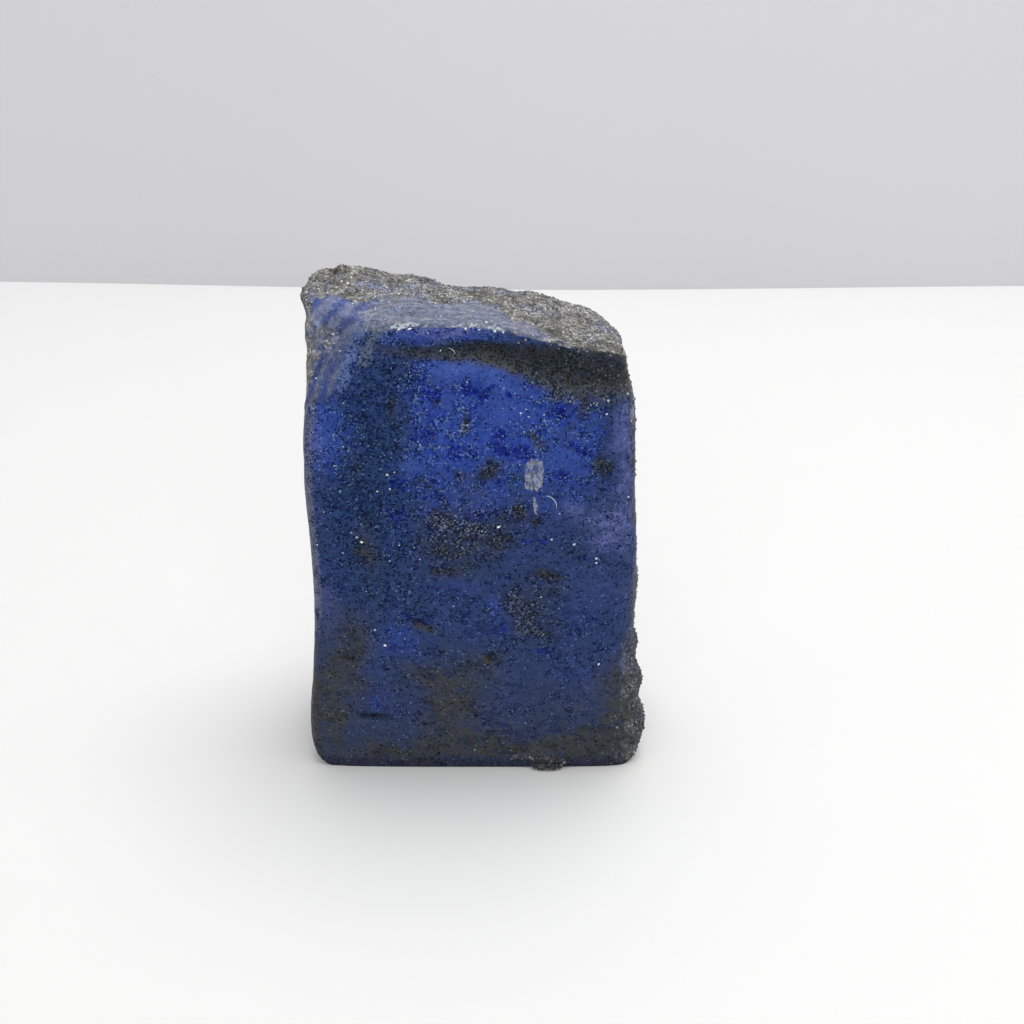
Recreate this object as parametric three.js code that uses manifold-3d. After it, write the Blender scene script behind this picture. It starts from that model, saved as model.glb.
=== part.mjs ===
// A rough sapphire: one tall broken block that stands on a flat foot. Millimetres, x to the right,
// y to the back, z up. The stone is where a field is below zero; the field is a rounded maximum of
// named faces, and rays from a sheet in the middle of the block find where it changes sign.
import * as THREE from "three";
import { mergeVertices } from "three/addons/utils/BufferGeometryUtils.js";
import Module from "manifold-3d";

// Where the flat faces stand, measured from the axis.
const frontFace = 15.6;
const frontFullness = { depth: 0.5, set: 0.35, x: 1, z: 40, wide: 13, tall: 15 };
const backFace = 16.3;
const backLean = 0.1; // mm forward per mm of height
const footLevel = -0.6; // the rounded foot reaches just below the cut that makes it flat
const sideLean = 0.05; // mm inward per mm of depth, so the back is narrower
const crestDepth = -1.5; // y of the top's highest line
const topFall = 0.018; // how fast the top curves down behind the crest

// Slanting facets: a point each passes through, and its outward direction.
const chamferFacet = { through: [-16.2, -15.2, 53.6], outward: [-0.47, -0.79, 0.36] };
const shoulderFacet = { through: [17.1, -13, 58.1], outward: [0.64, -0.1, 0.74] };
const scarFacets = [
  { through: [9.5, 10.8, 20], outward: [0.38, 0.91, 0.09] },
  { through: [-13, 11.8, 30], outward: [-0.36, 0.9, -0.05] },
  { through: [-13, 10.4, 48], outward: [-0.34, 0.89, 0.28] },
  { through: [0, 10, 57], outward: [0.1, 0.66, 0.74] },
];
const chamferDish = { depth: 0.6, x: -18, z: 57, wide: 4, tall: 6 };

// Two steps across the broken back, where a sheet of stone came away: how far each goes in, the line
// it starts from as a level and its slopes along x and z, and the size of its waver.
const backSteps = [
  { depth: 1.3, level: 37, alongX: -0.3, alongZ: 1, waver: 5, seed: 0.5 },
  { depth: 1.1, level: -7.95, alongX: 0.85, alongZ: -0.5, waver: 4, seed: 1.5 },
];
const stepRise = 0.6;

// Half widths against height, just behind the front: [z, distance from the axis].
const edgeDepth = 13;
const leftEdge = [
  [-1, 21.7], [3.5, 22.2], [7, 22.2], [12, 21.7], [18, 21.2], [24, 21.1],
  [29, 21.2], [40, 21.6], [50, 21.3], [57, 21.1], [61, 21.8], [68, 21.9],
];
const rightEdge = [
  [-1, 21.9], [4, 22.0], [9, 21.4], [15, 20.9], [20, 20.7], [29, 20.8],
  [40, 20.3], [50, 20.0], [55, 18.9], [60, 18.0], [66, 17.6],
];

// Heights against x: the rounded lip over the front, and the crest behind it.
const lipLine = [
  [-24, 60.0], [-12, 60.7], [-3, 61.0], [3, 60.6], [6, 60.0], [10, 58.9], [14, 57.9], [18, 57.0], [24, 55.8],
];
const crestLine = [
  [-24, 63.0], [-18, 63.3], [-14, 62.7], [-11, 62.7], [-8, 62.4], [-4, 60.9], [0, 60.7],
  [4, 60.3], [8, 59.8], [12, 58.8], [15, 57.9], [18, 57.0], [24, 54.0],
];

// The hollow under the lip: its height and its depth against x.
const hollowTall = [[-24, 2.0], [-12, 2.4], [-6, 2.9], [2, 3.1], [8, 4.0], [14, 4.6], [24, 4.4]];
const hollowDeep = [[-24, 0], [-16, 0.1], [-12, 0.7], [-6, 1.1], [2, 1.4], [14, 1.9], [24, 1.9]];
const hollowDrop = 1.1; // the lip's own thickness above it
const hollowFade = 9.0; // height over which the front comes forward again

// Corner radii, as the width over which two faces blend.
const ridgeBlend = 1.6;
const leftBlend = 2.6;
const rightBlend = 4.6;
const backBlend = 3.0;
const topBlend = 2.0;
const shoulderBlend = 2.2;
const scarBlend = 1.2;
const frontFootBlend = 0.7;
const sideFootBlend = 5.0;

// Lumps and hollows that stand on the faces: [x, y, z, radius, height].
const lumps = [
  // the crusted corner at the top left
  [-17.0, 0.0, 62.6, 2.4, 0.9], [-14.4, 2.5, 62.4, 1.9, 0.8], [-20.6, -3.5, 61.4, 2.0, 0.6],
  // the top and its right shoulder
  [-12, 7, 59.8, 2.5, 0.8], [18.4, -4.0, 56.4, 1.8, 0.7], [17.8, -10.5, 56.0, 1.5, 0.5],
  [8, 1.0, 59.4, 2.4, 0.5], [3, 8, 57.6, 3, 0.7],
  // the granular crust low on the right side
  [21.6, -11.5, 5.0, 2.2, 0.7], [21.2, -9.5, 10.6, 1.9, 1.0], [20.8, -7.5, 15.2, 1.8, 0.9],
  [21.0, -1, 8, 3.4, 1.0], [20.4, 5, 18, 3.0, 0.9], [20.6, 2, 30, 3.2, 0.7],
  // two crumbs on the front's lower edge
  [8.6, -15.2, 1.0, 1.6, 0.9], [11.0, -15.2, 1.1, 1.5, 0.8],
  // swellings on the left side
  [-21.8, -9.0, 6.5, 3.0, 0.3], [-21.2, -1.0, 16, 3.2, 0.7],
  [-20.6, 5, 41, 4.5, 0.6], [-20.0, 9, 27, 3.5, 0.8],
  // the broken back
  [-4, 13.5, 12, 4, 0.9], [5, 12.5, 30, 5, 0.8], [-6, 11.6, 45, 4, -0.9], [12, 9.6, 40, 4, -0.8],
];

// How much of the uneven relief the smooth front and the rough top, sides and back show.
const smoothShare = 0.35;
const roughShare = 1.25;

// The ray grid: half the width and depth of the box it is spread on, and the cells along x, y and z.
// The rays leave an upright sheet, a smaller copy of the box's outline round a middle height.
const gridHalf = [21.4, 15.4];
const middleHeight = 30;
const sheetDepth = -2;
const sheetShare = 0.7;
const cells = [30, 16, 42];
const halvings = 32;

// Height of a smooth line through hand-placed points, level beyond its ends.
function along(line, at) {
  const last = line.length - 1;
  const v = Math.min(Math.max(at, line[0][0]), line[last][0]);
  let i = 0;
  while (i < last - 1 && v > line[i + 1][0]) i += 1;
  const h = line[i + 1][0] - line[i][0];
  const t = (v - line[i][0]) / h;
  const a = (2 * t ** 3 - 3 * t ** 2 + 1) * line[i][1];
  const b = (t ** 3 - 2 * t ** 2 + t) * h * slopeAt(line, i);
  const c = (3 * t ** 2 - 2 * t ** 3) * line[i + 1][1];
  const d = (t ** 3 - t ** 2) * h * slopeAt(line, i + 1);
  return a + b + c + d;
}

// Slope at a point of a line: the parabola's through it and its two neighbours.
function slopeAt(line, i) {
  const last = line.length - 1;
  const rise = (j) => (line[j + 1][1] - line[j][1]) / (line[j + 1][0] - line[j][0]);
  if (i === 0) return rise(0);
  if (i === last) return rise(last - 1);
  const before = line[i][0] - line[i - 1][0];
  const after = line[i + 1][0] - line[i][0];
  return (rise(i - 1) * after + rise(i) * before) / (before + after);
}

// The larger of two fields, with the corner between them filled over a blend.
function blend(a, b, width) {
  const h = Math.max(width - Math.abs(a - b), 0) / width;
  return Math.max(a, b) + (h * h * width) / 4;
}

// 0 below a range, 1 above it, smooth between.
function ease(lo, hi, v) {
  const t = Math.min(Math.max((v - lo) / (hi - lo), 0), 1);
  return t * t * (3 - 2 * t);
}

// A smooth hump, 1 at its centre.
function bell(v, centre, width) {
  return Math.exp(-(((v - centre) / width) ** 2));
}

// Smooth value noise from -1 to 1 on a unit lattice.
function noise(x, y, z) {
  const [i, j, k] = [Math.floor(x), Math.floor(y), Math.floor(z)];
  const [u, v, w] = [ease(0, 1, x - i), ease(0, 1, y - j), ease(0, 1, z - k)];
  let total = 0;
  for (const [di, wu] of [[0, 1 - u], [1, u]])
    for (const [dj, wv] of [[0, 1 - v], [1, v]])
      for (const [dk, ww] of [[0, 1 - w], [1, w]]) total += cellValue(i + di, j + dj, k + dk) * wu * wv * ww;
  return total * 2 - 1;
}

// A fixed value from 0 to 1 for each lattice point.
function cellValue(i, j, k) {
  const s = Math.sin(i * 12.9898 + j * 78.233 + k * 37.719) * 43758.5453;
  return s - Math.floor(s);
}

// How far a point lies beyond a facet.
function beyond({ through, outward }, x, y, z) {
  return outward[0] * (x - through[0]) + outward[1] * (y - through[1]) + outward[2] * (z - through[2]);
}

// A round hump over the front view: its depth at its centre, fading over its width and height.
function hump(shape, x, z) {
  return shape.depth * bell(x, shape.x, shape.wide) * bell(z, shape.z, shape.tall);
}

// The smooth front: nearly flat, fuller in the middle, and hollowed under the lip.
function front(x, y, z) {
  const down = along(lipLine, x) - hollowDrop - z;
  const tall = along(hollowTall, x);
  const fall = ease(-stepRise, tall, down);
  const rise = 1 - ease(tall * 0.8, tall + hollowFade, down);
  const hollow = along(hollowDeep, x) * Math.min(fall, rise);
  const sides = 0.5 * (x / 20) ** 4;
  return -y - frontFace + sides + hollow + frontFullness.set - hump(frontFullness, x, z);
}

// The slanting, dished facet that cuts the front's top left corner.
function chamfer(x, y, z) {
  return beyond(chamferFacet, x, y, z) + hump(chamferDish, x, z);
}

// The back: a leaning break in two steps, with scars where flakes came off its edges.
function back(x, y, z) {
  let lean = y - backFace + backLean * z;
  for (const { depth, level, alongX, alongZ, waver, seed } of backSteps) {
    const past = alongX * x + alongZ * z - level + noise(x / waver, seed, z / waver);
    lean += depth * ease(-stepRise, stepRise, past);
  }
  return scarFacets.reduce((field, facet) => blend(field, beyond(facet, x, y, z), scarBlend), lean);
}

// The top's height: rises from the lip to the crest, then falls away behind it.
function topHeight(x, y) {
  const lip = along(lipLine, x);
  const climb = ease(-16.5, crestDepth + 1.5, y);
  const behind = Math.max(y - crestDepth - 1, 0);
  return lip + (along(crestLine, x) - lip) * climb - topFall * behind ** 2;
}

// The top, with its cut right shoulder.
function top(x, y, z) {
  return blend(z - topHeight(x, y), beyond(shoulderFacet, x, y, z), shoulderBlend);
}

// The whole block: below zero inside.
function block(x, y, z) {
  const narrower = sideLean * (y + edgeDepth);
  const left = -x - along(leftEdge, z) + narrower;
  const right = x - along(rightEdge, z) + narrower;
  const foot = footLevel - z;
  let walls = blend(front(x, y, z), chamfer(x, y, z), ridgeBlend);
  walls = blend(walls, left, leftBlend);
  walls = blend(walls, right, rightBlend);
  walls = blend(walls, back(x, y, z), backBlend);
  walls = blend(walls, top(x, y, z), topBlend);
  return Math.max(blend(walls, foot, frontFootBlend), blend(Math.max(left, right), foot, sideFootBlend));
}

// How far the broken surface stands out from the block, along its normal.
function relief(x, y, z, nz) {
  const rough = Math.min(ease(-11, -3, y) + ease(0.4, 0.75, nz), 1);
  const broad = 0.3 * noise(x / 7 + 3.1, y / 7, z / 8);
  const small = 0.16 * noise(x / 3.4, y / 3.4 + 7.7, z / 3.8);
  let out = (broad + small) * (smoothShare + (roughShare - smoothShare) * rough);
  for (const [cx, cy, cz, radius, height] of lumps)
    out += height * Math.exp(-((x - cx) ** 2 + (y - cy) ** 2 + (z - cz) ** 2) / radius ** 2);
  return (out + ripples(x, y, z)) * ease(0, 1.6, z);
}

// Shell-shaped ripples over the chamfer, round a centre low on its right.
function ripples(x, y, z) {
  const reach = Math.hypot(x + 8.5, (z - 49) * 0.9);
  const share = ease(-14.2, -16.2, x + 0.35 * (60 - z)) * ease(48, 52, z) * ease(-2.5, -6, y);
  return 0.24 * Math.sin(reach * 1.9 + 0.8 * Math.sin(reach * 0.7)) * share;
}

// The point where a ray leaves the block, moved out by the relief.
function surfacePoint([root, tip]) {
  const at = (t) => root.map((r, k) => r + (tip[k] - r) * t);
  let inside = 0.3;
  let outside = 1.8;
  for (let i = 0; i < halvings; i += 1) {
    const t = (inside + outside) / 2;
    if (block(...at(t)) < 0) inside = t;
    else outside = t;
  }
  const p = at(inside);
  const n = fieldNormal(p);
  const out = relief(...p, n[2]);
  return p.map((v, k) => v + n[k] * out);
}

// The block's outward direction at a point, from differences over a short step.
function fieldNormal(p) {
  const step = 0.02;
  const slope = [0, 1, 2].map((k) => {
    const ahead = p.map((v, i) => (i === k ? v + step : v));
    const behind = p.map((v, i) => (i === k ? v - step : v));
    return block(...ahead) - block(...behind);
  });
  const length = Math.hypot(...slope);
  return slope.map((v) => v / length);
}

// The ray for a place on the grid's box, given as shares from -1 to 1. The box's upper edges follow
// the top's height, so that a row of points runs along the lip.
function rayToward([sx, sy, sz]) {
  const [x, y] = [sx * gridHalf[0], sy * gridHalf[1]];
  const rise = sz * (sz > 0 ? topHeight(x, y) - 0.8 - middleHeight : middleHeight);
  const root = [x * sheetShare, sheetDepth, middleHeight + rise * sheetShare];
  return [root, [x, y, middleHeight + rise]];
}

// One side of the ray grid: a sheet of points, and the triangles between them facing out.
function sheet(axis, sign, positions, triangles) {
  const [u, v] = [(axis + 1) % 3, (axis + 2) % 3];
  const first = positions.length / 3;
  const row = cells[v] + 1;
  for (let i = 0; i <= cells[u]; i += 1)
    for (let j = 0; j <= cells[v]; j += 1) {
      const share = [0, 0, 0];
      share[axis] = sign;
      share[u] = (2 * i) / cells[u] - 1;
      share[v] = (2 * j) / cells[v] - 1;
      positions.push(...surfacePoint(rayToward(share)));
    }
  for (let i = 0; i < cells[u]; i += 1)
    for (let j = 0; j < cells[v]; j += 1) {
      const a = first + i * row + j;
      const [b, c, d] = [a + row, a + row + 1, a + 1];
      if (sign > 0) triangles.push(a, b, c, a, c, d);
      else triangles.push(a, c, b, a, d, c);
    }
}

// The six sheets joined into one closed skin.
function skin() {
  const positions = [];
  const triangles = [];
  for (const axis of [0, 1, 2]) for (const sign of [-1, 1]) sheet(axis, sign, positions, triangles);
  const open = new THREE.BufferGeometry();
  open.setAttribute("position", new THREE.Float32BufferAttribute(positions, 3));
  open.setIndex(triangles);
  return mergeVertices(open, 1e-4);
}

const wasm = await Module();
wasm.setup();

// A closed geometry as a manifold-3d solid.
function solidOf(geometry) {
  const bare = geometry.clone();
  bare.deleteAttribute("normal");
  bare.deleteAttribute("uv");
  const merged = mergeVertices(bare, 1e-4);
  const vertProperties = new Float32Array(merged.attributes.position.array);
  const triVerts = new Uint32Array(merged.index.array);
  return new wasm.Manifold(new wasm.Mesh({ numProp: 3, vertProperties, triVerts }));
}

// A solid back as a geometry with its normals.
function geometryOf(solid) {
  const { vertProperties, triVerts, numProp } = solid.getMesh();
  const points = new Float32Array((vertProperties.length / numProp) * 3);
  for (let i = 0; i < points.length / 3; i += 1)
    points.set(vertProperties.subarray(i * numProp, i * numProp + 3), i * 3);
  const geometry = new THREE.BufferGeometry();
  geometry.setAttribute("position", new THREE.BufferAttribute(points, 3));
  geometry.setIndex(new THREE.BufferAttribute(new Uint32Array(triVerts), 1));
  geometry.computeVertexNormals();
  return geometry;
}

// The stone with its foot cut flat at z = 0.
function stone() {
  const below = new THREE.BoxGeometry(80, 80, 10);
  below.translate(0, 0, -5);
  return geometryOf(solidOf(skin()).subtract(solidOf(below)));
}

// Deep blue, waxy corundum.
function corundum() {
  return new THREE.MeshStandardMaterial({ color: 0x2f4a8c, roughness: 0.4, metalness: 0 });
}

const group = new THREE.Group();
const sapphire = new THREE.Mesh(stone(), corundum());
sapphire.name = "sapphire";
group.add(sapphire);

export default group;
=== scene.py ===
import math
import bpy
import numpy as np
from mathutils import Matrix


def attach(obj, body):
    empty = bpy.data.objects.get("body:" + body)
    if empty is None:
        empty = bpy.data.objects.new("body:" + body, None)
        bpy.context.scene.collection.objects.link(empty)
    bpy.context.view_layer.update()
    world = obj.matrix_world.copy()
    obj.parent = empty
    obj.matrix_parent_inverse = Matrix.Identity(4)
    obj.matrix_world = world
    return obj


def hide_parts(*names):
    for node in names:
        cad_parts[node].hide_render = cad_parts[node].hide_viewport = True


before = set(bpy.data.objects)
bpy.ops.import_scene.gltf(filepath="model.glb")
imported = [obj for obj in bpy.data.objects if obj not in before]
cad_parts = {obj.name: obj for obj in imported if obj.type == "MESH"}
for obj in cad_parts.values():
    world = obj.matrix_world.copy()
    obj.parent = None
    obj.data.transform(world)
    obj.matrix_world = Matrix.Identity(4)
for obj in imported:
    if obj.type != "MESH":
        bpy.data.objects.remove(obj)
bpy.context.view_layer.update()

# Lengths are worked out in millimetres, x to the right, y to the back, z up, and made metres at the end.
metre = 0.001

print("stone: form")

# The block: named faces joined by a rounded maximum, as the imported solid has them.
stone = dict(
    front=15.6, fullness=dict(depth=0.5, rest=0.35, x=1, z=40, wide=13, tall=15),
    back=16.3, backLean=0.1, foot=-0.6, sideLean=0.05, edgeDepth=13, crestDepth=-1.5, topFall=0.018,
    chamfer=((-16.2, -15.2, 53.6), (-0.47, -0.79, 0.36)),
    shoulder=((17.1, -13, 58.1), (0.64, -0.1, 0.74)),
    scars=[((9.5, 10.8, 20), (0.38, 0.91, 0.09)), ((-13, 11.8, 30), (-0.36, 0.9, -0.05)),
           ((-13, 10.4, 48), (-0.34, 0.89, 0.28)), ((0, 10, 57), (0.1, 0.66, 0.74))],
    dish=dict(depth=0.6, x=-18, z=57, wide=4, tall=6),
    steps=[(1.3, 37, -0.3, 1, 5, 0.5), (1.1, -7.95, 0.85, -0.5, 4, 1.5)],
    # A step: depth, level, slopes across and up, and the waver's size and layer.
    leftEdge=[(-1, 21.7), (3.5, 22.2), (7, 22.2), (12, 21.7), (18, 21.2), (24, 21.1),
              (29, 21.2), (40, 21.6), (50, 21.3), (57, 21.1), (61, 21.8), (68, 21.9)],
    rightEdge=[(-1, 21.9), (4, 22), (9, 21.4), (15, 20.9), (20, 20.7), (29, 20.8),
               (40, 20.3), (50, 20), (55, 18.9), (60, 18), (66, 17.6)],
    lip=[(-24, 60), (-12, 60.7), (-3, 61), (3, 60.6), (6, 60), (10, 58.9), (14, 57.9), (18, 57),
         (24, 55.8)],
    crest=[(-24, 63), (-18, 63.3), (-14, 62.7), (-11, 62.7), (-8, 62.4), (-4, 60.9), (0, 60.7),
           (4, 60.3), (8, 59.8), (12, 58.8), (15, 57.9), (18, 57), (24, 54)],
    hollowTall=[(-24, 2), (-12, 2.4), (-6, 2.9), (2, 3.1), (8, 4), (14, 4.6), (24, 4.4)],
    hollowDeep=[(-24, 0), (-16, 0.1), (-12, 0.7), (-6, 1.1), (2, 1.4), (14, 1.9), (24, 1.9)],
    hollowDrop=1.1, hollowFade=9,
    ridgeBlend=1.6, leftBlend=2.6, rightBlend=4.6, backBlend=3, topBlend=2, shoulderBlend=2.2,
    scarBlend=1.2, footBlend=0.7, sideFootBlend=5,
    lumps=[(-17, 0, 62.6, 2.4, 0.9), (-14.4, 2.5, 62.4, 1.9, 0.8), (-20.6, -3.5, 61.4, 2, 0.6),
           (-12, 7, 59.8, 2.5, 0.8), (18.4, -4, 56.4, 1.8, 0.7), (17.8, -10.5, 56, 1.5, 0.5),
           (8, 1, 59.4, 2.4, 0.5), (3, 8, 57.6, 3, 0.7), (21.6, -11.5, 5, 2.2, 0.7),
           (21.2, -9.5, 10.6, 1.9, 1), (20.8, -7.5, 15.2, 1.8, 0.9), (20.8, -10.5, 25.4, 1.1, 0.35),
           (20.7, -9.5, 23, 1, 0.3), (21, -1, 8, 3.4, 1), (20.4, 5, 18, 3, 0.9),
           (20.6, 2, 30, 3.2, 0.7), (8.6, -15.2, 1, 1.6, 0.9), (11, -15.2, 1.1, 1.5, 0.8),
           (-21.8, -9, 6.5, 3, 0.3), (-21.2, -1, 16, 3.2, 0.7), (-20.6, 5, 41, 4.5, 0.6),
           (-20, 9, 27, 3.5, 0.8), (-4, 13.5, 12, 4, 0.9), (5, 12.5, 30, 5, 0.8),
           (-6, 11.6, 45, 4, -0.9), (12, 9.6, 40, 4, -0.8)],  # x, y, z, radius, height
    swell=0.3, buckle=0.16, ripple=0.24, shell=(-8.5, 49),  # heights, and the ripples' centre
    halfWide=21.4, halfDeep=15.4, middle=30, sheetDepth=-2, sheetShare=0.7, sheetDrop=0.8,
    cells=(134, 70, 190), reach=(0.3, 1.8), halvings=30,
)


# Height of a smooth line through points: a cubic between each two, with the slope of the parabola
# through a point and its neighbours; level beyond the ends.
def alongLine(points, at):
    x, y = np.array(points, float).T
    slope = np.gradient(y, x)
    at = np.clip(at, x[0], x[-1])
    i = np.clip(np.searchsorted(x, at) - 1, 0, len(x) - 2)
    span = x[i + 1] - x[i]
    t = (at - x[i]) / span
    return ((2 * t**3 - 3 * t**2 + 1) * y[i] + (t**3 - 2 * t**2 + t) * span * slope[i]
            + (3 * t**2 - 2 * t**3) * y[i + 1] + (t**3 - t**2) * span * slope[i + 1])


# Larger of two fields, with the corner filled by width/4 * (1 - |a - b| / width) squared.
def blend(a, b, width):
    h = np.maximum(width - np.abs(a - b), 0) / width
    return np.maximum(a, b) + h * h * width / 4


# 0 before lo, 1 past hi, 3t^2 - 2t^3 between; lo may be the larger of the two.
def ease(lo, hi, v):
    t = np.clip((v - lo) / (hi - lo), 0, 1)
    return t * t * (3 - 2 * t)


# e to the minus ((v - centre) / width) squared.
def bell(v, centre, width):
    return np.exp(-((v - centre) / width) ** 2)


# Fraction of a large sine of the lattice point: a fixed value from 0 to 1.
def cellValue(i, j, k):
    s = np.sin(i * 12.9898 + j * 78.233 + k * 37.719) * 43758.5453
    return s - np.floor(s)


# Value noise from -1 to 1: the eight lattice values round a point, eased between.
def noise(x, y, z):
    i, j, k = np.floor(x), np.floor(y), np.floor(z)
    u, v, w = ease(0, 1, x - i), ease(0, 1, y - j), ease(0, 1, z - k)
    total = 0
    for di, wu in ((0, 1 - u), (1, u)):
        for dj, wv in ((0, 1 - v), (1, v)):
            for dk, ww in ((0, 1 - w), (1, w)):
                total = total + cellValue(i + di, j + dj, k + dk) * wu * wv * ww
    return total * 2 - 1


# The noise of one layer of the lattice, across and up, at a size in millimetres.
def layerNoise(size, layer, x, z):
    return noise(x / size, 0 * x + layer, z / size)


# Distance beyond a facet: outward direction times the way from the point it passes through.
def beyond(facet, x, y, z):
    (px, py, pz), (nx, ny, nz) = facet
    return nx * (x - px) + ny * (y - py) + nz * (z - pz)


# Depth times a bell across and a bell up.
def hump(shape, x, z):
    return shape["depth"] * bell(x, shape["x"], shape["wide"]) * bell(z, shape["z"], shape["tall"])


# Flat front, rounder to the sides by the fourth power of x, hollowed under the lip.
def frontField(x, y, z):
    down = alongLine(stone["lip"], x) - stone["hollowDrop"] - z
    tall = alongLine(stone["hollowTall"], x)
    hollow = np.minimum(ease(-0.6, tall, down), 1 - ease(tall * 0.8, tall + stone["hollowFade"], down))
    hollow = hollow * alongLine(stone["hollowDeep"], x)
    fullness = stone["fullness"]
    return -y - stone["front"] + 0.5 * (x / 20) ** 4 + hollow + fullness["rest"] - hump(fullness, x, z)


# Leaning plane that steps in across two wavering lines, blended with the scars.
def backField(x, y, z):
    field = y - stone["back"] + stone["backLean"] * z
    for depth, level, alongX, alongZ, waver, seed in stone["steps"]:
        past = alongX * x + alongZ * z - level + layerNoise(waver, seed, x, z)
        field = field + depth * ease(-0.6, 0.6, past)
    for scar in stone["scars"]:
        field = blend(field, beyond(scar, x, y, z), stone["scarBlend"])
    return field


# Lip height, climbing to the crest with depth, then falling by the square of the way behind it.
def topHeight(x, y):
    lip = alongLine(stone["lip"], x)
    climb = ease(-16.5, stone["crestDepth"] + 1.5, y)
    behind = np.maximum(y - stone["crestDepth"] - 1, 0)
    return lip + (alongLine(stone["crest"], x) - lip) * climb - stone["topFall"] * behind**2


# The whole block, below zero inside: front, chamfer, sides, back, top and foot blended in turn.
def blockField(x, y, z):
    narrower = stone["sideLean"] * (y + stone["edgeDepth"])
    left = -x - alongLine(stone["leftEdge"], z) + narrower
    right = x - alongLine(stone["rightEdge"], z) + narrower
    top = blend(z - topHeight(x, y), beyond(stone["shoulder"], x, y, z), stone["shoulderBlend"])
    chamfer = beyond(stone["chamfer"], x, y, z) + hump(stone["dish"], x, z)
    foot = stone["foot"] - z
    walls = frontField(x, y, z)
    for field, name in ((chamfer, "ridge"), (left, "left"), (right, "right"), (backField(x, y, z), "back"),
                        (top, "top"), (foot, "foot")):
        walls = blend(walls, field, stone[name + "Blend"])
    return np.maximum(walls, blend(np.maximum(left, right), foot, stone["sideFootBlend"]))


# Vectors over their lengths.
def unit(vectors):
    return vectors / np.linalg.norm(vectors, axis=1)[:, None]


# Outward direction: the field's differences over a short step, made unit length.
def fieldNormal(p, step=0.02):
    shifts = np.eye(3) * step
    return unit(np.stack([blockField(*(p + s).T) - blockField(*(p - s).T) for s in shifts], 1))


# How far the broken skin stands out: two noises, round lumps as h * e^(-r^2/R^2), and the ripples.
def relief(p, n):
    x, y, z = p.T
    rough = np.clip(ease(-11, -3, y) + ease(0.4, 0.75, n[:, 2]), 0, 1)
    out = stone["swell"] * noise(x / 7 + 3.1, y / 7, z / 8)
    out = (out + stone["buckle"] * noise(x / 3.4, y / 3.4 + 7.7, z / 3.8)) * (0.35 + 0.9 * rough)
    for cx, cy, cz, radius, height in stone["lumps"]:
        out = out + height * np.exp(-((x - cx) ** 2 + (y - cy) ** 2 + (z - cz) ** 2) / radius**2)
    return (out + stone["ripple"] * ripples(x, y, z)) * ease(0, 1.6, z)


# Reach of a point of the chamfer from the ripples' centre, low on its right.
def shellReach(x, z):
    return np.hypot(x - stone["shell"][0], (z - stone["shell"][1]) * 0.9)


# Ripples: a sine of the reach, its pace wavering, where the chamfer is.
def ripples(x, y, z):
    reach = shellReach(x, z)
    share = ease(-14.2, -16.2, x + 0.35 * (60 - z)) * ease(48, 52, z) * ease(-2.5, -6, y)
    return np.sin(reach * 1.9 + 0.8 * np.sin(reach * 0.7)) * share


# Arcs, finer than the ripples: a faster sine of the reach, bent by a noise.
def arcs(x, z):
    return np.sin(shellReach(x, z) * 3.5 + 1.1 * layerNoise(2.5, 0, x, z))


# Point where a ray from the block's inner sheet to a place on its box leaves the block, found by halving
# the stretch between a point inside and one outside. The box's upper edges follow the top, so that a row
# of points runs along the lip.
def surfacePoint(place):
    x, y = place[:, 0] * stone["halfWide"], place[:, 1] * stone["halfDeep"]
    middle = stone["middle"]
    high = topHeight(x, y) - stone["sheetDrop"] - middle
    rise = place[:, 2] * np.where(place[:, 2] > 0, high, middle)
    share = stone["sheetShare"]
    root = np.stack([x * share, 0 * x + stone["sheetDepth"], middle + rise * share], 1)
    way = np.stack([x, y, middle + rise], 1) - root
    inside, outside = (np.full(len(x), reach) for reach in stone["reach"])
    for _ in range(stone["halvings"]):
        t = (inside + outside) / 2
        isIn = blockField(*(root + way * t[:, None]).T) < 0
        inside, outside = np.where(isIn, t, inside), np.where(isIn, outside, t)
    return root + way * inside[:, None]


# One sheet of the box's lattice as cells of four whole-number corners, counterclockwise from outside.
def latticeSheet(axis, side):
    counts = stone["cells"]
    u, v = (axis + 1) % 3, (axis + 2) % 3
    i, j = np.meshgrid(np.arange(counts[u] + 1), np.arange(counts[v] + 1), indexing="ij")
    corner = np.zeros(i.shape + (3,), int)
    corner[..., axis], corner[..., u], corner[..., v] = side * counts[axis], i, j
    cells = np.stack([corner[:-1, :-1], corner[1:, :-1], corner[1:, 1:], corner[:-1, 1:]], 2)
    return (cells if side else cells[:, :, ::-1]).reshape(-1, 4, 3)


# Where each sheet lies on the unit square, in parts of its side: axis, side, the lattice axes and
# directions along u and v, then left, bottom, width and height.
chartParts = 1024
charts = [
    (1, 0, (0, 1), (2, 1), 4, 4, 462, 640),  # front
    (2, 1, (0, 1), (1, 1), 4, 652, 462, 330),  # top
    (0, 1, (1, 1), (2, 1), 474, 4, 264, 519),  # right
    (0, 0, (1, -1), (2, 1), 746, 4, 264, 519),  # left
    (1, 1, (2, 1), (0, 1), 474, 531, 480, 350),  # back
    (2, 0, (0, -1), (1, 1), 474, 889, 190, 132),  # foot
]


# A chart's place for lattice corners: its corner plus the corners' share of its width and height.
def chartPlace(cells, chart):
    _, _, uAlong, vAlong, left, bottom, wide, tall = chart
    shares = []
    for axis, direction in (uAlong, vAlong):
        share = cells[..., axis] / stone["cells"][axis]
        shares.append(share if direction > 0 else 1 - share)
    return np.stack([left + shares[0] * wide, bottom + shares[1] * tall], -1) / chartParts


print("stone: zones")

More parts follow.
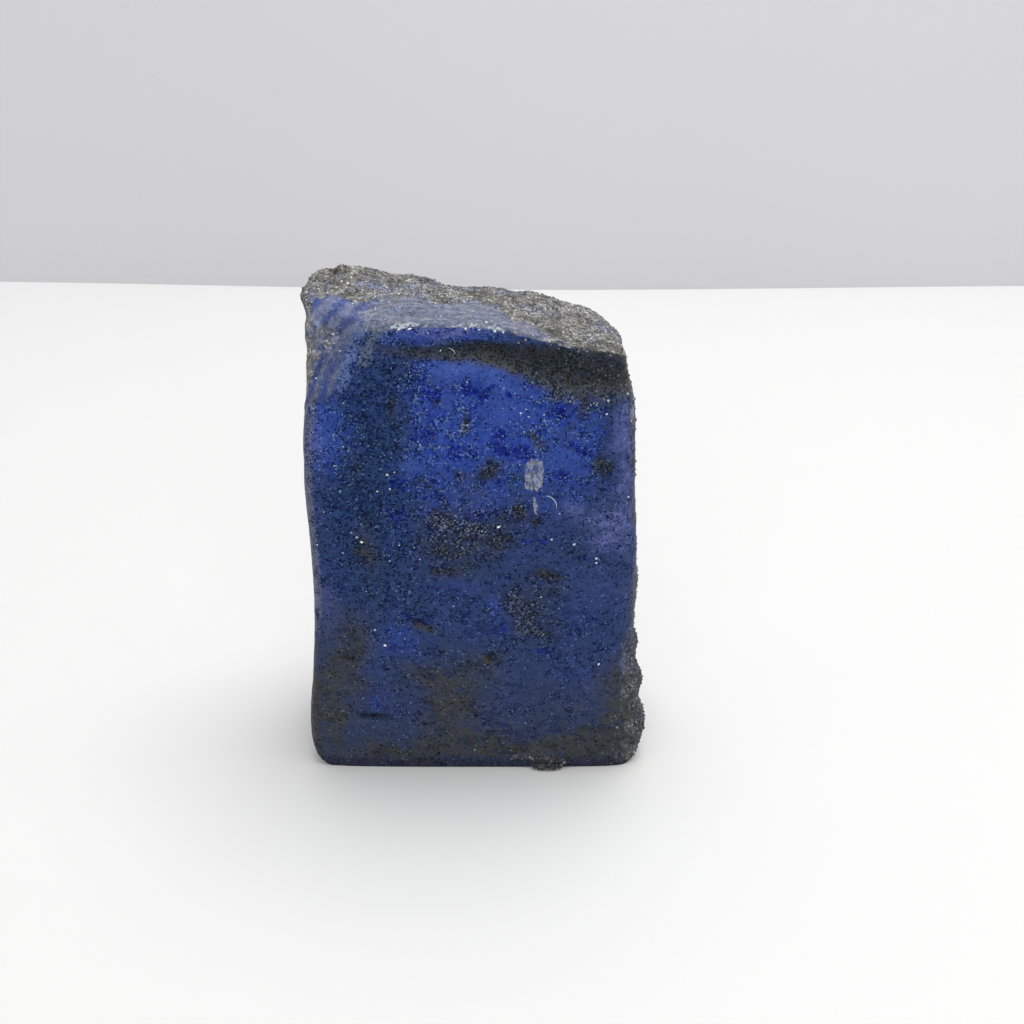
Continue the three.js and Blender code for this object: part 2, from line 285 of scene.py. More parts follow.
# Patches on the front: x, z, half width, half height, strength, and a tilt in degrees for some.
patches = dict(
    dome=[(-4.5, 59.6, 7.5, 1.6, 1), (-17.6, 47, 3.2, 5.4, 0.85), (-3.5, 43, 5, 5, 0.6),
        (10, 41.5, 6, 4.5, 0.6), (-4.6, 38.6, 3.4, 2.2, 0.6, -10), (2, 37.6, 4.5, 1.6, 0.5),
        (-12.6, 10, 2.8, 2.4, 0.5), (2.6, 23, 2.6, 3, 0.4), (-9.5, 18.5, 4.4, 3.4, 0.4, -10),
        (15.5, 22, 3.6, 4, 0.25), (14, 14, 4.5, 3.5, 0.25), (-9.6, 33.5, 3, 3, 0.3),
        (-18, 47.5, 2.4, 4.5, 0.5), (-3.6, 26.2, 3, 1.6, 0.35)],
    deep=[(1.3, 51.6, 2.2, 0.6, 1, 40), (-6.1, 47, 2.6, 1.2, 1), (2.5, 47, 1, 1.5, 0.9),
        (-2.4, 45, 1.8, 1, 0.9), (4.8, 44.4, 3, 0.8, 1.1, -3), (4.6, 51.6, 0.6, 0.8, 0.8),
        (13.4, 45, 2.2, 0.6, 0.9, -35), (17.1, 51.2, 1.7, 1.3, 0.8), (10.5, 49.2, 2.2, 1.2, 0.8),
        (10.6, 41.8, 2.8, 1, 0.7), (-9.5, 40.2, 1.5, 1, 0.9), (-10, 36.4, 1.8, 0.8, 0.8, -10),
        (-5.1, 39, 2, 0.8, 0.7), (1.2, 36.3, 2.5, 1, 0.9, -5), (7.5, 32.1, 2.5, 0.6, 0.7, 10),
        (13.3, 30.3, 1.9, 0.5, 0.9), (-4, 26.2, 2, 0.6, 0.7), (-7.8, 22.2, 1.6, 0.6, 0.8, -10),
        (7.6, 17.2, 2.3, 0.7, 0.8, -12), (2.4, 19.6, 1.8, 0.6, 0.7), (18, 18.6, 1.6, 0.7, 0.6),
        (-5, 52, 2.6, 1.6, 0.8, -10), (0, 52.8, 2.2, 1.4, 0.6), (7.6, 47.2, 1.6, 0.8, 0.6, -20),
        (-14.6, 37.6, 1.4, 0.6, 0.6, -10), (-12.6, 9.6, 2, 1.8, 0.5), (14.6, 22, 1.4, 0.6, 0.6)],
    smooth=[(-1.1, 55.2, 5.8, 1.4, 1, 5), (3.9, 53.6, 2.6, 1.5, 1, -35), (3.9, 50, 2, 2.8, 0.95),
        (10.5, 44, 3.4, 1.6, 0.9, -10), (-7.4, 42.5, 2.6, 1.4, 0.8), (-18.2, 47.3, 1.9, 3.4, 0.8),
        (18.2, 46, 1.9, 7, 0.8), (14.5, 35.5, 4.4, 2.2, 0.6, -10), (8.8, 29.6, 3.8, 1.4, 0.7),
        (15, 26.5, 3.6, 3.6, 0.8), (-3.4, 26.8, 2.8, 1.6, 0.7), (0.6, 38.4, 3, 0.9, 0.8),
        (-18.9, 23, 1.8, 4.5, 0.8), (14.7, 11.6, 4.2, 4.4, 0.6), (-16.6, 4.6, 3.6, 2.4, 0.7),
        (8.8, 34.4, 2.6, 1.2, 0.5), (2.6, 23.6, 1.8, 2.2, 0.5), (10.4, 37.4, 1.4, 1.6, 0.6)],
    teal=[(-12.6, 48, 4.2, 8, 1), (-12.2, 38, 5, 8, 0.95), (-14.8, 29, 5, 6.5, 0.7), (-8.4, 54, 3, 3, 0.7),
        (-17.5, 40, 2.8, 4, 0.5), (-6.6, 25.4, 4, 3, 0.4)],
    charcoal=[(13.5, 2.2, 6.5, 2.6, 0.85), (15.5, 5, 5, 3.6, 0.6), (0, 2, 20, 1.4, 0.7),
        (-19.2, 10, 2.4, 8.5, 1), (-16.5, 14, 2.6, 4.6, 0.8), (-15.9, 19.4, 2.6, 3.8, 0.6),
        (-3.5, 10, 4.8, 6.6, 1), (-10.5, 2.6, 8, 2.2, 0.75), (8.9, 3.4, 4.6, 1.8, 0.9),
        (17.4, 4.4, 3.4, 2.4, 0.8), (0, 4, 6, 3, 0.7), (-13.5, 31, 2.2, 4.6, 0.6),
        (-14.8, 42, 1.2, 3.4, 0.4), (2.4, 15.2, 3.4, 3, 0.5), (19.4, 10, 1.8, 6, 0.7),
        (-2.6, 28.6, 3.6, 1.4, 0.5), (9.6, 25.6, 2.4, 1.6, 0.4), (-8.2, 46, 1.8, 2.4, 0.4),
        (-8, 13.6, 3, 2, 0.5), (10.6, 8, 3, 2, 0.3)],
    brown=[(-1.2, 35, 6.2, 4.2, 0.72, -8), (-1, 31.6, 5, 2.4, 0.45), (7, 22, 3.6, 4.4, 0.5, 20),
        (-4, 36.6, 1.4, 1, 0.8), (1, 35, 1.8, 0.6, 1, -8), (5.6, 36.6, 0.8, 1.4, 1),
        (7.6, 36, 0.9, 0.8, 0.9), (-2.8, 29.4, 2, 0.6, 0.8, 5), (8.9, 27.9, 1.8, 1, 0.8),
        (2, 42.3, 1.7, 1.6, 1), (-2, 41.9, 1.2, 1.4, 0.6), (5.9, 23.6, 2.4, 2.6, 0.75, 20),
        (7.6, 20.2, 1.8, 1.4, 0.8), (-5.6, 20.8, 1.6, 0.6, 0.8, -25), (-17, 16, 1.6, 1.2, 0.5),
        (9.9, 51.3, 0.9, 0.9, 0.9), (13.3, 50.7, 1.1, 1.9, 1), (14.6, 6, 2.2, 1, 0.7),
        (7.4, 45.8, 1.1, 0.6, 0.9, -30), (16.2, 42.8, 1.2, 1.6, 0.8), (-6.4, 40.2, 1.8, 0.8, 0.5, -15),
        (-1.2, 48.5, 0.6, 1, 0.8), (-9.8, 50, 1, 1.7, 0.6), (-10.7, 42.2, 0.9, 0.9, 0.6),
        (-4.8, 50.8, 0.9, 0.6, 0.6), (3.4, 32.6, 1.6, 1.4, 0.6), (-4.2, 32.4, 2.4, 1.4, 0.6),
        (12.6, 31, 2, 1.2, 0.4), (-13, 24.6, 2.2, 1.2, 0.3), (-0.4, 14.4, 2.6, 1.6, 0.5, -30),
        (9, 44.8, 0.8, 1.6, 0.3, 30)],
    azure=[(-1.1, 55.4, 5.8, 1.1, 0.9, 5), (3.9, 53.4, 2.6, 1.4, 0.6, -35), (-4.5, 60, 7, 1, 0.5)],
    lilac=[(-1.1, 55.6, 5.8, 0.8, 0.2, 5), (-4.5, 60.1, 7.5, 1.2, 0.9), (19.2, 44.5, 2.2, 9, 0.75),
        (17.8, 34.6, 3.6, 3.6, 0.9, -15), (-19.6, 46, 1.4, 6, 0.5), (-20.2, 30, 1.2, 12, 0.4),
        (12.6, 36.6, 3, 1.4, 0.5, -20), (-7.6, 42.6, 2.4, 1.2, 0.35), (10.2, 47, 2.4, 1, 0.3)],
    sandy=[(-1.2, 35, 6.4, 4.4, 1, -8), (-1, 31.6, 4, 2, 0.6), (6.8, 22.4, 3.4, 4.4, 1, 20),
        (-5, 20.8, 3, 1.2, 0.7, -25), (-9.6, 50, 1.2, 1.8, 0.4)],
    purple=[(-18.9, 23, 1.9, 5, 0.9), (19.4, 27, 1.8, 9, 0.6), (1.2, 38.6, 3, 1, 0.4),
        (15, 26, 4, 4, 0.35)],
)


# Across and up from a centre, on axes turned by a tilt in degrees.
def turned(across, up, tilt=0):
    c, s = math.cos(math.radians(tilt)), math.sin(math.radians(tilt))
    return across * c + up * s, up * c - across * s


# Union of soft ellipses: 1 less the product of (1 - strength * e^-(r^2)), r the turned, scaled reach.
def patchShare(name, x, z):
    left = 1
    for cx, cz, wide, tall, strength, *tilt in patches[name]:
        across, up = turned(x - cx, z - cz, *tilt)
        left = left * (1 - strength * np.exp(-((across / wide) ** 2 + (up / tall) ** 2)))
    return 1 - left


# Lines that bound the zones, against x, or against z for those that run upwards.
bounds = dict(
    crustStart=[(-22, -5), (-18, -5.4), (-14, -6.2), (-10, -7), (-6, -7), (-3, -6.5), (1, -5), (4, -7.5),
                (6, -11), (9, -15), (22, -16)],
    bandTop=[(-14, 58), (-9, 58.2), (-4, 58.4), (1, 58.5), (5, 58.5), (10, 58.1), (15, 57.5), (20, 56.8)],
    bandFoot=[(-14, 57.6), (-9, 56.6), (-4, 56.1), (0.7, 55.8), (5.6, 54.4), (10.4, 52.6), (15, 51.8),
              (20, 51.6)],
    bandShare=[(-15, 0), (-11, 0.45), (-7, 0.65), (0, 0.85), (5, 1), (12, 1), (20, 0.95)],
    domeLeft=[(30, -5), (36, -8.8), (40, -10.2), (44, -9.6), (48, -8.2), (52, -8.4), (54, -8), (58, -7)],
    ridge=[(44, -20.5), (48, -18.4), (51.8, -16.7), (54.9, -15.4), (57.4, -14.7), (59.4, -13.7),
           (60.6, -12.6), (61.4, -10)],
)

# Slits and pits in the front: x, z, half length, half height, tilt, depth.
cuts = [(-7.6, 21.4, 1.05, 0.24, -18, 0.6), (1.9, 16.4, 0.6, 0.55, 0, 0.7), (-13.4, 7.5, 2, 0.34, -4, 0.7),
        (-3.6, 13.9, 0.9, 0.2, -30, 0.25), (17.6, 5.6, 1.2, 0.3, -6, 0.4),
        (14.3, 50.4, 0.6, 0.7, -30, 0.35), (9.7, 3, 1.2, 0.25, 0, 0.4)]

# Small marks on the front: x, z, half width, half height, tilt, strength.
marks = dict(crumb=[(9.4, 0.9, 2.1, 0.95, 0, 1), (6.2, 1.7, 1.9, 0.4, 4, 0.8)],
             scrape=[(7.35, 41.7, 1.15, 2.1, -3, 1), (7.5, 37.6, 0.35, 1.5, 8, 0.6)],
             sandRim=[(-6.9, 20.7, 1.5, 0.55, -14, 1), (1.3, 15.9, 0.7, 0.7, 0, 1)])


# Turned box round a mark: 1 inside, falling over a soft rim, from the sum of fourth powers.
def markShare(x, z, cx, cz, wide, tall, tilt):
    across, up = turned(x - cx, z - cz, tilt)
    return np.exp(-((across / wide) ** 4 + (up / tall) ** 4))


# The largest share of the marks of a name, each times its strength.
def marked(name, x, z):
    return np.maximum.reduce([strength * markShare(x, z, *place) for *place, strength in marks[name]])


# Share of each zone at each point, from its place and outward direction.
def stoneZones(p, n):
    x, y, z = p.T
    face = ease(0.25, 0.7, -n[:, 1]) * ease(-9, -11.5, y)
    wander = 0.9 * noise(x / 2.2, y / 2.2, z / 2.2) + 0.5 * noise(x / 0.9, y / 0.9 + 4, z / 0.9)
    up = ease(0.3, 0.62, n[:, 2] + 0.1 * wander)
    warpX = 0.9 * layerNoise(3.6, 2, x, z) + 0.45 * layerNoise(1.3, 3, x, z)
    warpZ = 0.9 * layerNoise(3.6, 5, x, z) + 0.45 * layerNoise(1.3, 6, x, z)

    # The ease of a value, its line made wavy by the wander.
    def wavy(lo, hi, value, sway=1):
        return ease(lo, hi, value + sway * wander)

    zones = {name: patchShare(name, x + warpX, z + warpZ) * face for name in patches}
    start = alongLine(bounds["crustStart"], x)
    top = up * wavy(start - 3.4, start + 3, y, 3)
    ridgeX = alongLine(bounds["ridge"], z)
    chamfer = ease(-0.2, -1.2, x - ridgeX) * ease(49, 53, z) * (1 - top)
    chamfer = chamfer * (1 - 0.9 * ease(0.68, 0.9, -n[:, 0]) * ease(-12.5, -9.5, y)) * ease(-4.5, -6.5, y)
    rise = 0.7 * (y + 9)  # the crust at the lower right climbs forwards
    low = wavy(17.4, 21, x, 1.2) * ease(19, 14, z + 2.5 * wander + rise) * ease(0.35, 0.75, n[:, 0])
    bottomRight = wavy(17, 21.6, x, 1.5) * ease(18, 13, z + 1.5 * wander + rise)
    leftRim = wavy(-20.5, -21.4, x, 0.3) * wavy(42, 50, z) * (1 - up)
    corner = wavy(-19.4, -20.8, x, 0.6) * wavy(56, 59, z) * wavy(-10.5, -7, y, 0.5)
    sides = wavy(-13.2, -10.5, y, 0.8) * (1 - up)
    patchy = ease(-0.5, 0.35, noise(x / 8, y / 8 + 3, z / 10) + 0.5 * noise(x / 3, y / 3, z / 3.4))
    crust = np.maximum.reduce([top, low, 0.9 * bottomRight, 0.7 * leftRim, 0.9 * corner,
                               sides * (0.35 + 0.6 * patchy)])
    # The band under the lip: dark mineral with painted shade of the overhang.
    bandTop, bandFoot = alongLine(bounds["bandTop"], x), alongLine(bounds["bandFoot"], x)
    soft = ease(3, 11, x)
    band = wavy(bandTop + 0.9, bandTop - 1.1, z, 0.25)
    band = band * wavy(bandFoot - 1 - 2.8 * soft, bandFoot + 0.7 + 0.8 * soft, z, 0.4)
    zones["band"] = band * alongLine(bounds["bandShare"], x) * ease(0, 0.4, -n[:, 1])
    crumb = marked("crumb", x, z)
    zones["crust"] = np.maximum(crust * (1 - 0.9 * zones["band"]), crumb * ease(0.2, 0.5, -n[:, 1]))
    arch = ease(-1.5, 1.5, x - alongLine(bounds["domeLeft"], z) + 1.3 * wander)
    arch = arch * ease(bandFoot + 0.4, bandFoot - 0.5, z) * wavy(34, 46, z, 3)
    arch = arch * wavy(17.5, 13.5, x, 0.8) * (1 - 0.3 * ease(8, 13, x)) * face
    zones["dome"] = np.maximum(zones["dome"], arch)
    zones["low"] = ease(0, 0.45, np.maximum.reduce([low, bottomRight, crumb]))
    zones["calm"] = wavy(27, 13, z, 2) * face
    foot, footRight = 0.48 * wavy(22, 4, z, 2.5) * face, wavy(11, 20, x, 1.5) * wavy(21, 10, z, 2.5) * face
    footLeft = wavy(-19.4, -21.2, x, 0.5) * wavy(24, 12, z, 2)
    zones["charcoal"] = np.maximum.reduce([zones["charcoal"], foot, footRight, footLeft])
    for name, seed in (("charcoal", 9), ("teal", 12), ("lilac", 15)):  # walls that turn away from the front
        swell = noise(x / 6, y / 6 + seed, z / 8) + 0.4 * noise(x / 2.5, y / 2.5 + seed, z / 2.5)
        zones[name] = np.maximum(zones[name], 0.9 * ease(0, 0.7, swell) * (1 - face) * (1 - chamfer))
    # Foot of the band, where its painted shade under the lip turns to a lighter grey.
    zones["haze"] = wavy(bandFoot + 2.2, bandFoot - 1, z, 0.3)
    zones["chamfer"] = chamfer
    zones["arc"] = 0.5 + 0.5 * arcs(x, z) + 0.35 * ease(55.5, 59.5, z)
    film = up * (1 - top) * wavy(-15.9, -14.2, y, 0.3)
    zones["film"] = film * wavy(-17, -10, x, 1.5) * wavy(13, 7, x, 1.5)
    # A pale streak along the chamfer's ridge, partly a painted highlight.
    zones["streak"] = bell(x - ridgeX, 0, 1) * ease(50, 54, z) * ease(-9.5, -11.5, y)
    zones["olive"] = bell(x - ridgeX, 1.9, 1) * ease(54, 56.5, z) * ease(61.2, 60.2, z) * ease(-11, -13, y)
    # Painted highlight along the lip's rounded edge, strongest in three places across.
    shine = 0.45 + 0.55 * np.maximum.reduce([bell(x, -8.4, 1.4), bell(x, -0.6, 1.2), bell(x, 3.3, 1.4)])
    glint = bell(n[:, 2], 0.72, 0.22) * ease(-13.4, -14.2, y)
    zones["glint"] = glint * ease(-11, -9.5, x) * ease(5.5, 4, x) * shine
    # Painted grazing sheen where the left side turns away from the front.
    zones["edge"] = ease(0.25, 0.6, -n[:, 0]) * ease(-12, -13.5, y) * (1 - up) * wavy(14, 26, z, 2)
    # Painted shade in the gap between the top-left knobs, joined in the dark share with the dark crumb, a
    # darker crust at the top left and a darker upper left wall.
    zones["gap"] = up * bell(x + 0.15 * (y - 1), -18.2, 0.45) * bell(y, -0.2, 1.4)
    wall = ease(-19.5, -20.6, x) * wavy(50, 57, z, 2) * ease(-7.5, -4, y) * wavy(6, 1.5, y) * (1 - up)
    zones["dark"] = 0.75 * crumb + zones["gap"] + 0.13 * top * ease(-11, -17, x) + wall
    # Painted shade along the foot, where the front turns down.
    zones["rim"] = ease(1.9, 0.7, z) * face
    sunk = [min(1, 1.3 * depth) * markShare(x, z, cx, cz, wide * 1.25, tall * 1.5, tilt)
            for cx, cz, wide, tall, tilt, depth in cuts]
    zones["cut"] = face * np.maximum.reduce(sunk)
    zones["scrape"], zones["sandRim"] = face * marked("scrape", x, z), face * marked("sandRim", x, z)
    zones["front"] = face
    return zones


# Heights and depths of the fine relief, in millimetres.
texture = dict(grit=0.13, dust=0.07, pebble=0.2, crustSink=0.12, swell=0.05, band=0.09, arc=0.12,
               deep=0.14, gap=0.65, brown=0.05, scrape=0.07)


# Fine relief: grit on the crust, low swells on the front, and shallow scallops, slits and pits as the
# negative of their bells.
def fineRelief(p, zones):
    x, y, z = p.T

    # The same noise in all directions, at a size in millimetres.
    def fineNoise(size, shiftX=0, shiftY=0):
        return noise(x / size + shiftX, y / size + shiftY, z / size)

    grit = texture["grit"] * fineNoise(0.9) + texture["dust"] * fineNoise(0.45, 5)
    grit = grit + texture["pebble"] * fineNoise(1.7, 0, 2) - texture["crustSink"]
    out = zones["crust"] * grit + (1 - zones["crust"]) * texture["swell"] * fineNoise(1.7)
    out = out + texture["band"] * zones["band"] * fineNoise(0.7)
    out = out - texture["deep"] * zones["deep"] + texture["arc"] * zones["chamfer"] * arcs(x, z)
    out = out - texture["gap"] * zones["gap"] - texture["brown"] * zones["brown"] * (1 + fineNoise(0.6))
    out = out - texture["scrape"] * zones["scrape"]
    for cx, cz, wide, tall, tilt, depth in cuts:
        out = out - depth * zones["front"] * markShare(x, z, cx, cz, wide, tall, tilt)
    return out * ease(0, 0.6, z)


# A mesh object in metres from points in millimetres and faces of equal size.
def addMesh(name, points, faces, smooth=True):
    mesh = bpy.data.meshes.new(name)
    sides = faces.shape[1]
    mesh.vertices.add(len(points))
    mesh.vertices.foreach_set("co", (points * metre).astype(np.float32).ravel())
    mesh.loops.add(faces.size)
    mesh.loops.foreach_set("vertex_index", faces.astype(np.int32).ravel())
    mesh.polygons.add(len(faces))
    mesh.polygons.foreach_set("loop_start", np.arange(0, faces.size, sides, dtype=np.int32))
    mesh.polygons.foreach_set("use_smooth", np.full(len(faces), smooth))
    mesh.update(calc_edges=True)
    mesh.validate()
    piece = bpy.data.objects.new(name, mesh)
    bpy.context.scene.collection.objects.link(piece)
    return piece


# A number for each point, under a name that the material reads.
def setShare(piece, name, values):
    share = piece.data.attributes.new(name, "FLOAT", "POINT")
    share.data.foreach_set("value", np.asarray(values, np.float32))


# The stone's skin: lattice corners shared between sheets, each sent to its point on the block, then
# moved out along the normal by the relief and the fine relief.
def makeStone():
    nx, ny, nz = stone["cells"]
    sheets = [latticeSheet(*chart[:2]) for chart in charts]
    places = np.concatenate([chartPlace(sheet, chart) for sheet, chart in zip(sheets, charts)])
    cells = np.concatenate(sheets)
    key = (cells[..., 0] * (ny + 1) + cells[..., 1]) * (nz + 1) + cells[..., 2]
    unique, faces = np.unique(key.ravel(), return_inverse=True)
    corner = np.stack([unique // (nz + 1) // (ny + 1), unique // (nz + 1) % (ny + 1), unique % (nz + 1)], 1)
    p = surfacePoint(corner / np.array([nx, ny, nz]) * 2 - 1)
    n = fieldNormal(p)
    p = p + n * relief(p, n)[:, None]
    zones = stoneZones(p, n)
    p = p + n * fineRelief(p, zones)[:, None]
    p[:, 2] = np.maximum(p[:, 2], 0)
    piece = addMesh("stone", p, faces.reshape(-1, 4))
    for name, values in zones.items():
        setShare(piece, name, values)
    piece.data.uv_layers.new(name="OFBake").data.foreach_set("uv", places.astype(np.float32).ravel())
    return piece, p, n, faces.reshape(-1, 4), zones


stonePiece, skinPoints, skinNormals, skinFaces, skinZones = makeStone()
print("stone:", len(skinPoints), "points,", 2 * len(skinFaces), "triangles")

print("crust: grains")

topGrains = dict(count=15000, least=0.07, most=0.24, stand=-0.06, seed=11)
sideGrains = dict(count=22000, least=0.09, most=0.26, stand=-0.02, seed=12,
                  crumb=dict(count=520, place=(9.3, -15.8, 0.48), half=(2.1, 0.62, 0.42)))
smallGrains = 2.2  # the higher, the more of them are small
grainForm = np.array([(1, 0, 0), (0, 1, 0), (-1, 0, 0), (0, -1, 0), (0, 0, 1), (0, 0, -1)], float)
grainFaces = np.array([(0, 1, 4), (1, 2, 4), (2, 3, 4), (3, 0, 4),
                       (1, 0, 5), (2, 1, 5), (3, 2, 5), (0, 3, 5)])


# Random places on the skin, a face drawn by its area times its weight and a point inside it by two
# shares, with the outward direction there.
def scatter(count, weight, random):
    corner = skinPoints[skinFaces]
    across, up = corner[:, 1] - corner[:, 0], corner[:, 3] - corner[:, 0]
    area = np.linalg.norm(np.cross(across, up), axis=1) * weight[skinFaces].mean(1)
    face = random.choice(len(area), count, p=area / area.sum())
    u, v = random.random((2, count, 1))
    spot = corner[face, 0] + across[face] * u + up[face] * v
    return spot, skinNormals[skinFaces[face, 0]], skinFaces[face, 0]


# The faces of a number of octahedra, six corners each.
def octahedra(count):
    return (grainFaces[None] + 6 * np.arange(count)[:, None, None]).reshape(-1, 3)


# Turning matrices from random unit quaternions.
def randomTurns(count, random):
    a, b, c, d = unit(random.normal(size=(count, 4))).T
    turns = [1 - 2 * (c * c + d * d), 2 * (b * c - a * d), 2 * (b * d + a * c),
             2 * (b * c + a * d), 1 - 2 * (b * b + d * d), 2 * (c * d - a * b),
             2 * (b * d - a * c), 2 * (c * d + a * b), 1 - 2 * (b * b + c * c)]
    return np.stack(turns, 1).reshape(-1, 3, 3)


# Grains: uneven octahedra, each corner pushed by up to a third, turned at random, set into the skin.
# The last of them may make a crumb at the foot instead, an ellipsoid evenly filled: a random direction
# times the cube root of a random number.
def makeGrains(name, settings, weight):
    random = np.random.default_rng(settings["seed"])
    count = settings["count"]
    spot, outward, near = scatter(count, weight, random)
    if "crumb" in settings:
        crumb = settings["crumb"]
        last = slice(-crumb["count"], None)
        way = unit(random.normal(size=(crumb["count"], 3)))
        way = way * random.random((crumb["count"], 1)) ** (1 / 3)
        spot[last] = way * crumb["half"] + crumb["place"]
        near[last] = np.argmin(((skinPoints - crumb["place"]) ** 2).sum(1))
    size = settings["least"] + (settings["most"] - settings["least"]) * random.random(count) ** smallGrains
    form = grainForm * random.uniform(0.7, 1.3, (count, 6, 1))
    form = np.einsum("nij,nkj->nki", randomTurns(count, random), form) * size[:, None, None]
    points = (spot + outward * settings["stand"])[:, None] + form
    points[..., 2] = np.maximum(points[..., 2], 0)
    piece = addMesh(name, points.reshape(-1, 3), octahedra(count), smooth=False)
    setShare(piece, "tone", np.repeat(random.random(count), 6))
    setShare(piece, "warm", np.repeat(random.random(count), 6))
    for zone in ("band", "dark", "low"):
        setShare(piece, zone, np.repeat(skinZones[zone][near], 6))
    return piece


upward = skinNormals[:, 2] > 0.25
topWeight = np.where(upward, skinZones["crust"] ** 2 + 0.1 * skinZones["film"], 0)
sideWeight = skinZones["crust"] ** 2 + 0.3 * skinZones["band"] * ease(4, 12, skinPoints[:, 0])
sideWeight = np.where(upward, 0, sideWeight) * ease(0.2, 0.6, skinPoints[:, 2])
sideWeight = sideWeight * (1 - ease(-19, -20, skinPoints[:, 0]) * ease(5, -2, skinPoints[:, 1]))
topPiece = makeGrains("topCrust", topGrains, topWeight)
sidePiece = makeGrains("sideCrust", sideGrains, sideWeight)

print("flecks")

# Bright facets and crystals that stand on the skin: x, z and half size of those on the front, then
# x, y and half size of those on top, the lint, and how many more facets lie about at random.
flecks = dict(
    front=[(-17.2, 58.6, 0.18), (-18.2, 57.7, 0.16), (-16.4, 56.8, 0.2), (-4.1, 57.4, 0.14),
        (-8.4, 55.6, 0.08), (-7.7, 54.6, 0.08), (5.6, 49.6, 0.2), (6.6, 49.2, 0.14), (6.2, 50, 0.12),
        (8.6, 49.2, 0.15), (6, 47.2, 0.15), (16.3, 48.9, 0.16), (14.7, 50.2, 0.12), (-10.8, 41.7, 0.2),
        (-10, 42, 0.12), (-10.5, 39.9, 0.15), (-12.1, 39.3, 0.13), (-17.3, 42.6, 0.14), (-9.6, 32.2, 0.13),
        (-10.8, 30, 0.12), (-16.8, 31, 0.16), (-19.9, 31.8, 0.14), (-15, 33, 0.24), (-14.4, 32.4, 0.2),
        (-15.5, 33.6, 0.14), (12.6, 32.2, 0.22), (15.1, 30.4, 0.2), (15.4, 29.8, 0.16), (19.3, 38.2, 0.16),
        (-11.9, 18, 0.22), (-12.9, 20.4, 0.16), (15.8, 15.4, 0.2), (-16.9, 39.4, 0.12), (-3, 23.6, 0.12),
        (8.4, 24.8, 0.14), (9.6, 32.9, 0.16), (14.4, 35.4, 0.12), (-18.8, 36.4, 0.1), (-13.2, 45.4, 0.1),
        (10.6, 36.4, 0.12)],
    top=[(-9, -15.2, 0.22), (-7.6, -15, 0.24), (-1, -15.2, 0.2), (0.6, -15, 0.22), (2.4, -15.2, 0.26),
        (3.6, -15, 0.22), (-11.6, -8, 0.22), (-13.6, -2, 0.26), (-16.2, -3.4, 0.3), (-4.4, -3, 0.22),
        (-1.4, -5, 0.28), (-9.6, -6.2, 0.26), (-15.2, -8.4, 0.24), (7.6, -5, 0.2), (12, -9, 0.24)],
    flakes=[(2.95, 34.85, 0.42, 0.14, 28)],  # x, z, half length, half height, tilt
    threads=[[(-3.04, 57.6), (-2.71, 57.4), (-2.45, 57.2), (-2.27, 56.85)],
             [(8.79, 38.85), (9.22, 38.8), (9.8, 38.4), (10.08, 37.9), (10.18, 37.15)]],  # x, z
    threadRadius=0.045, threadRings=24, threadLift=0.02, threadWave=0.06, threadTint=0.5, flakeTint=0.9,
    onCrust=(420, 0.07, 0.2), onFront=(64, 0.05, 0.09),  # count, least and most half size
    form=(1, 0.8, 0.45), askew=0.25, raised=(0, 0, 0.8), seed=21,
    # The near-white tints are partly painted glints.
    stops=[(0, (150, 168, 200)), (0.35, (206, 214, 226)), (0.6, (196, 216, 208)), (0.8, (236, 232, 236)),
           (1, (246, 248, 250))],  # tint, paint
)


# Nearest point of the skin to a place given by two of its coordinates, on the side that faces one way.
def nearestSkin(first, second, a, b, facing):
    reach = (skinPoints[:, first] - a) ** 2 + (skinPoints[:, second] - b) ** 2
    return int(np.argmin(np.where(facing, reach, np.inf)))


# A thread of lint lying on the skin: a six-sided tube whose radius goes by the root of a sine, so that
# it thins at both ends, where a fan closes it. Its middle line is smooth through the given points.
def threadTube(path, forward):
    along = np.arange(len(path), dtype=float)
    t = np.linspace(0, len(path) - 1, flecks["threadRings"])
    x, z = (alongLine(list(zip(along, values)), t) for values in zip(*path))
    y = np.array([skinPoints[nearestSkin(0, 2, a, b, forward), 1] for a, b in zip(x, z)])
    y = np.full(len(t), y.min()) - flecks["threadLift"] + flecks["threadWave"] * np.sin(t * 2)
    spokes = np.arange(6)
    turn = spokes * math.pi / 3
    radius = flecks["threadRadius"] * np.sqrt(np.sin(np.linspace(0.02, math.pi - 0.02, len(t))))[:, None]
    lean = np.arctan2(np.gradient(z), np.gradient(x))[:, None]
    x, y, z = (values[:, None] for values in (x, y, z))
    points = np.stack([x - np.sin(lean) * np.cos(turn) * radius, y - np.sin(turn) * radius,
                       z + np.cos(lean) * np.cos(turn) * radius], 2).reshape(-1, 3)
    ring, spoke = np.meshgrid(np.arange(len(t) - 1), spokes, indexing="ij")
    a, b = ring * 6 + spoke, ring * 6 + (spoke + 1) % 6
    sides = np.stack([a, b, b + 6, a, b + 6, a + 6], -1).reshape(-1, 3)
    last = len(points) - 6
    ends = [(0, k + 1, k) for k in range(1, 5)] + [(last, last + k, last + k + 1) for k in range(1, 5)]
    return points, np.concatenate([sides, np.array(ends)])


